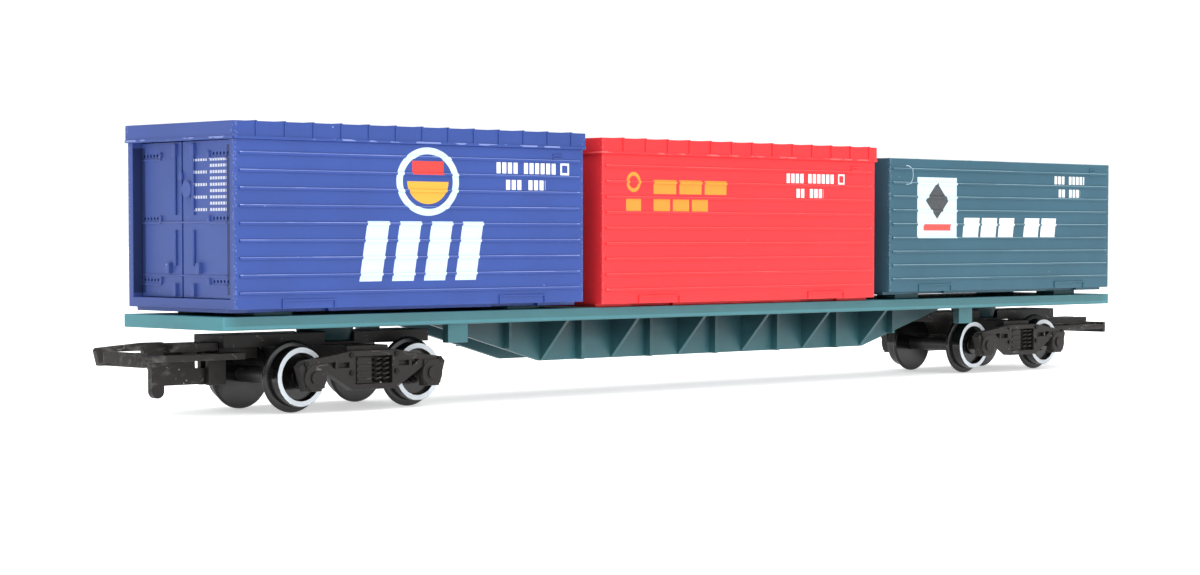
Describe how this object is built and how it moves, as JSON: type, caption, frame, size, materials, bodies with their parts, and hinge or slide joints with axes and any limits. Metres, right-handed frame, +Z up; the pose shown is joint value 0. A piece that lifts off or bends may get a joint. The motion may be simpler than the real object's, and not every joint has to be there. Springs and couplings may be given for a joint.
{
  "type": "toy container flat wagon",
  "caption": "Model railway flat wagon on swivelling bogies, carrying hollow box containers, with rolling wheelsets and lifting hook couplings.",
  "frame": {"origin": "on the rail plane under the middle of the deck", "axes": "+X along the wagon, +Y across it, +Z up"},
  "size_m": [0.2779, 0.0318, 0.0496],
  "materials": {
    "teal_plastic": "semi-gloss moulded plastic",
    "blue_plastic": "satin moulded plastic",
    "red_plastic": "satin moulded plastic",
    "green_plastic": "satin moulded plastic",
    "dark_plastic": "satin moulded plastic, scuffed",
    "wheel_plastic": "gloss moulded plastic with a painted rim face",
    "axle_plastic": "satin",
    "steel_pin": "dull steel"
  },
  "bodies": {
    "wagon": {"deck": "teal_plastic", "girder_near": "teal_plastic", "girder_far": "teal_plastic", "stop_blocks": "teal_plastic", "seat_pads": "teal_plastic", "swivel_boss_a": "teal_plastic", "pivot_pin_a": "steel_pin", "swivel_boss_b": "teal_plastic", "pivot_pin_b": "steel_pin", "container_blue": "blue_plastic", "doors_blue": "blue_plastic", "container_red": "red_plastic", "doors_red": "red_plastic", "container_green": "green_plastic", "doors_green": "green_plastic", "lid_blue": "blue_plastic", "lid_red": "red_plastic"},
    "bogie_a": {"bogie_frame_a": "dark_plastic", "coupling_a": "dark_plastic", "hook_pin": "steel_pin", "side_frame_a_near": "dark_plastic", "springs_a_near": "dark_plastic", "side_frame_a_far": "dark_plastic", "springs_a_far": "dark_plastic"},
    "hook": {"hook": "dark_plastic"},
    "wheelset_a1": {"axle_a1": "axle_plastic", "wheel_a1_near": "wheel_plastic", "wheel_a1_far": "wheel_plastic"},
    "wheelset_a2": {"axle_a2": "axle_plastic", "wheel_a2_near": "wheel_plastic", "wheel_a2_far": "wheel_plastic"},
    "bogie_b": {"bogie_frame_b": "dark_plastic", "coupling_b": "dark_plastic", "side_frame_b_near": "dark_plastic", "springs_b_near": "dark_plastic", "side_frame_b_far": "dark_plastic", "springs_b_far": "dark_plastic"},
    "wheelset_b1": {"axle_b1": "axle_plastic", "wheel_b1_near": "wheel_plastic", "wheel_b1_far": "wheel_plastic"},
    "wheelset_b2": {"axle_b2": "axle_plastic", "wheel_b2_near": "wheel_plastic", "wheel_b2_far": "wheel_plastic"}
  },
  "joints": [
    {"name": "swivel_a", "type": "hinge", "parent": "wagon", "child": "bogie_a", "pos_m": [-0.0936, 0, 0.0078], "axis": [0, 0, 1], "range_deg": [-10, 10]},
    {"name": "roll_a1", "type": "hinge", "parent": "bogie_a", "child": "wheelset_a1", "pos_m": [-0.1066, 0, 0.00625], "axis": [0, 1, 0], "continuous": true},
    {"name": "roll_a2", "type": "hinge", "parent": "bogie_a", "child": "wheelset_a2", "pos_m": [-0.0806, 0, 0.00625], "axis": [0, 1, 0], "continuous": true},
    {"name": "lift_hook", "type": "hinge", "parent": "bogie_a", "child": "hook", "pos_m": [-0.1182, 0, 0.0066], "axis": [0, 1, 0], "range_deg": [0, 7]},
    {"name": "swivel_b", "type": "hinge", "parent": "wagon", "child": "bogie_b", "pos_m": [0.0936, 0, 0.0078], "axis": [0, 0, 1], "range_deg": [-10, 10]},
    {"name": "roll_b1", "type": "hinge", "parent": "bogie_b", "child": "wheelset_b1", "pos_m": [0.1066, 0, 0.00625], "axis": [0, 1, 0], "continuous": true},
    {"name": "roll_b2", "type": "hinge", "parent": "bogie_b", "child": "wheelset_b2", "pos_m": [0.0806, 0, 0.00625], "axis": [0, 1, 0], "continuous": true}
  ]
}
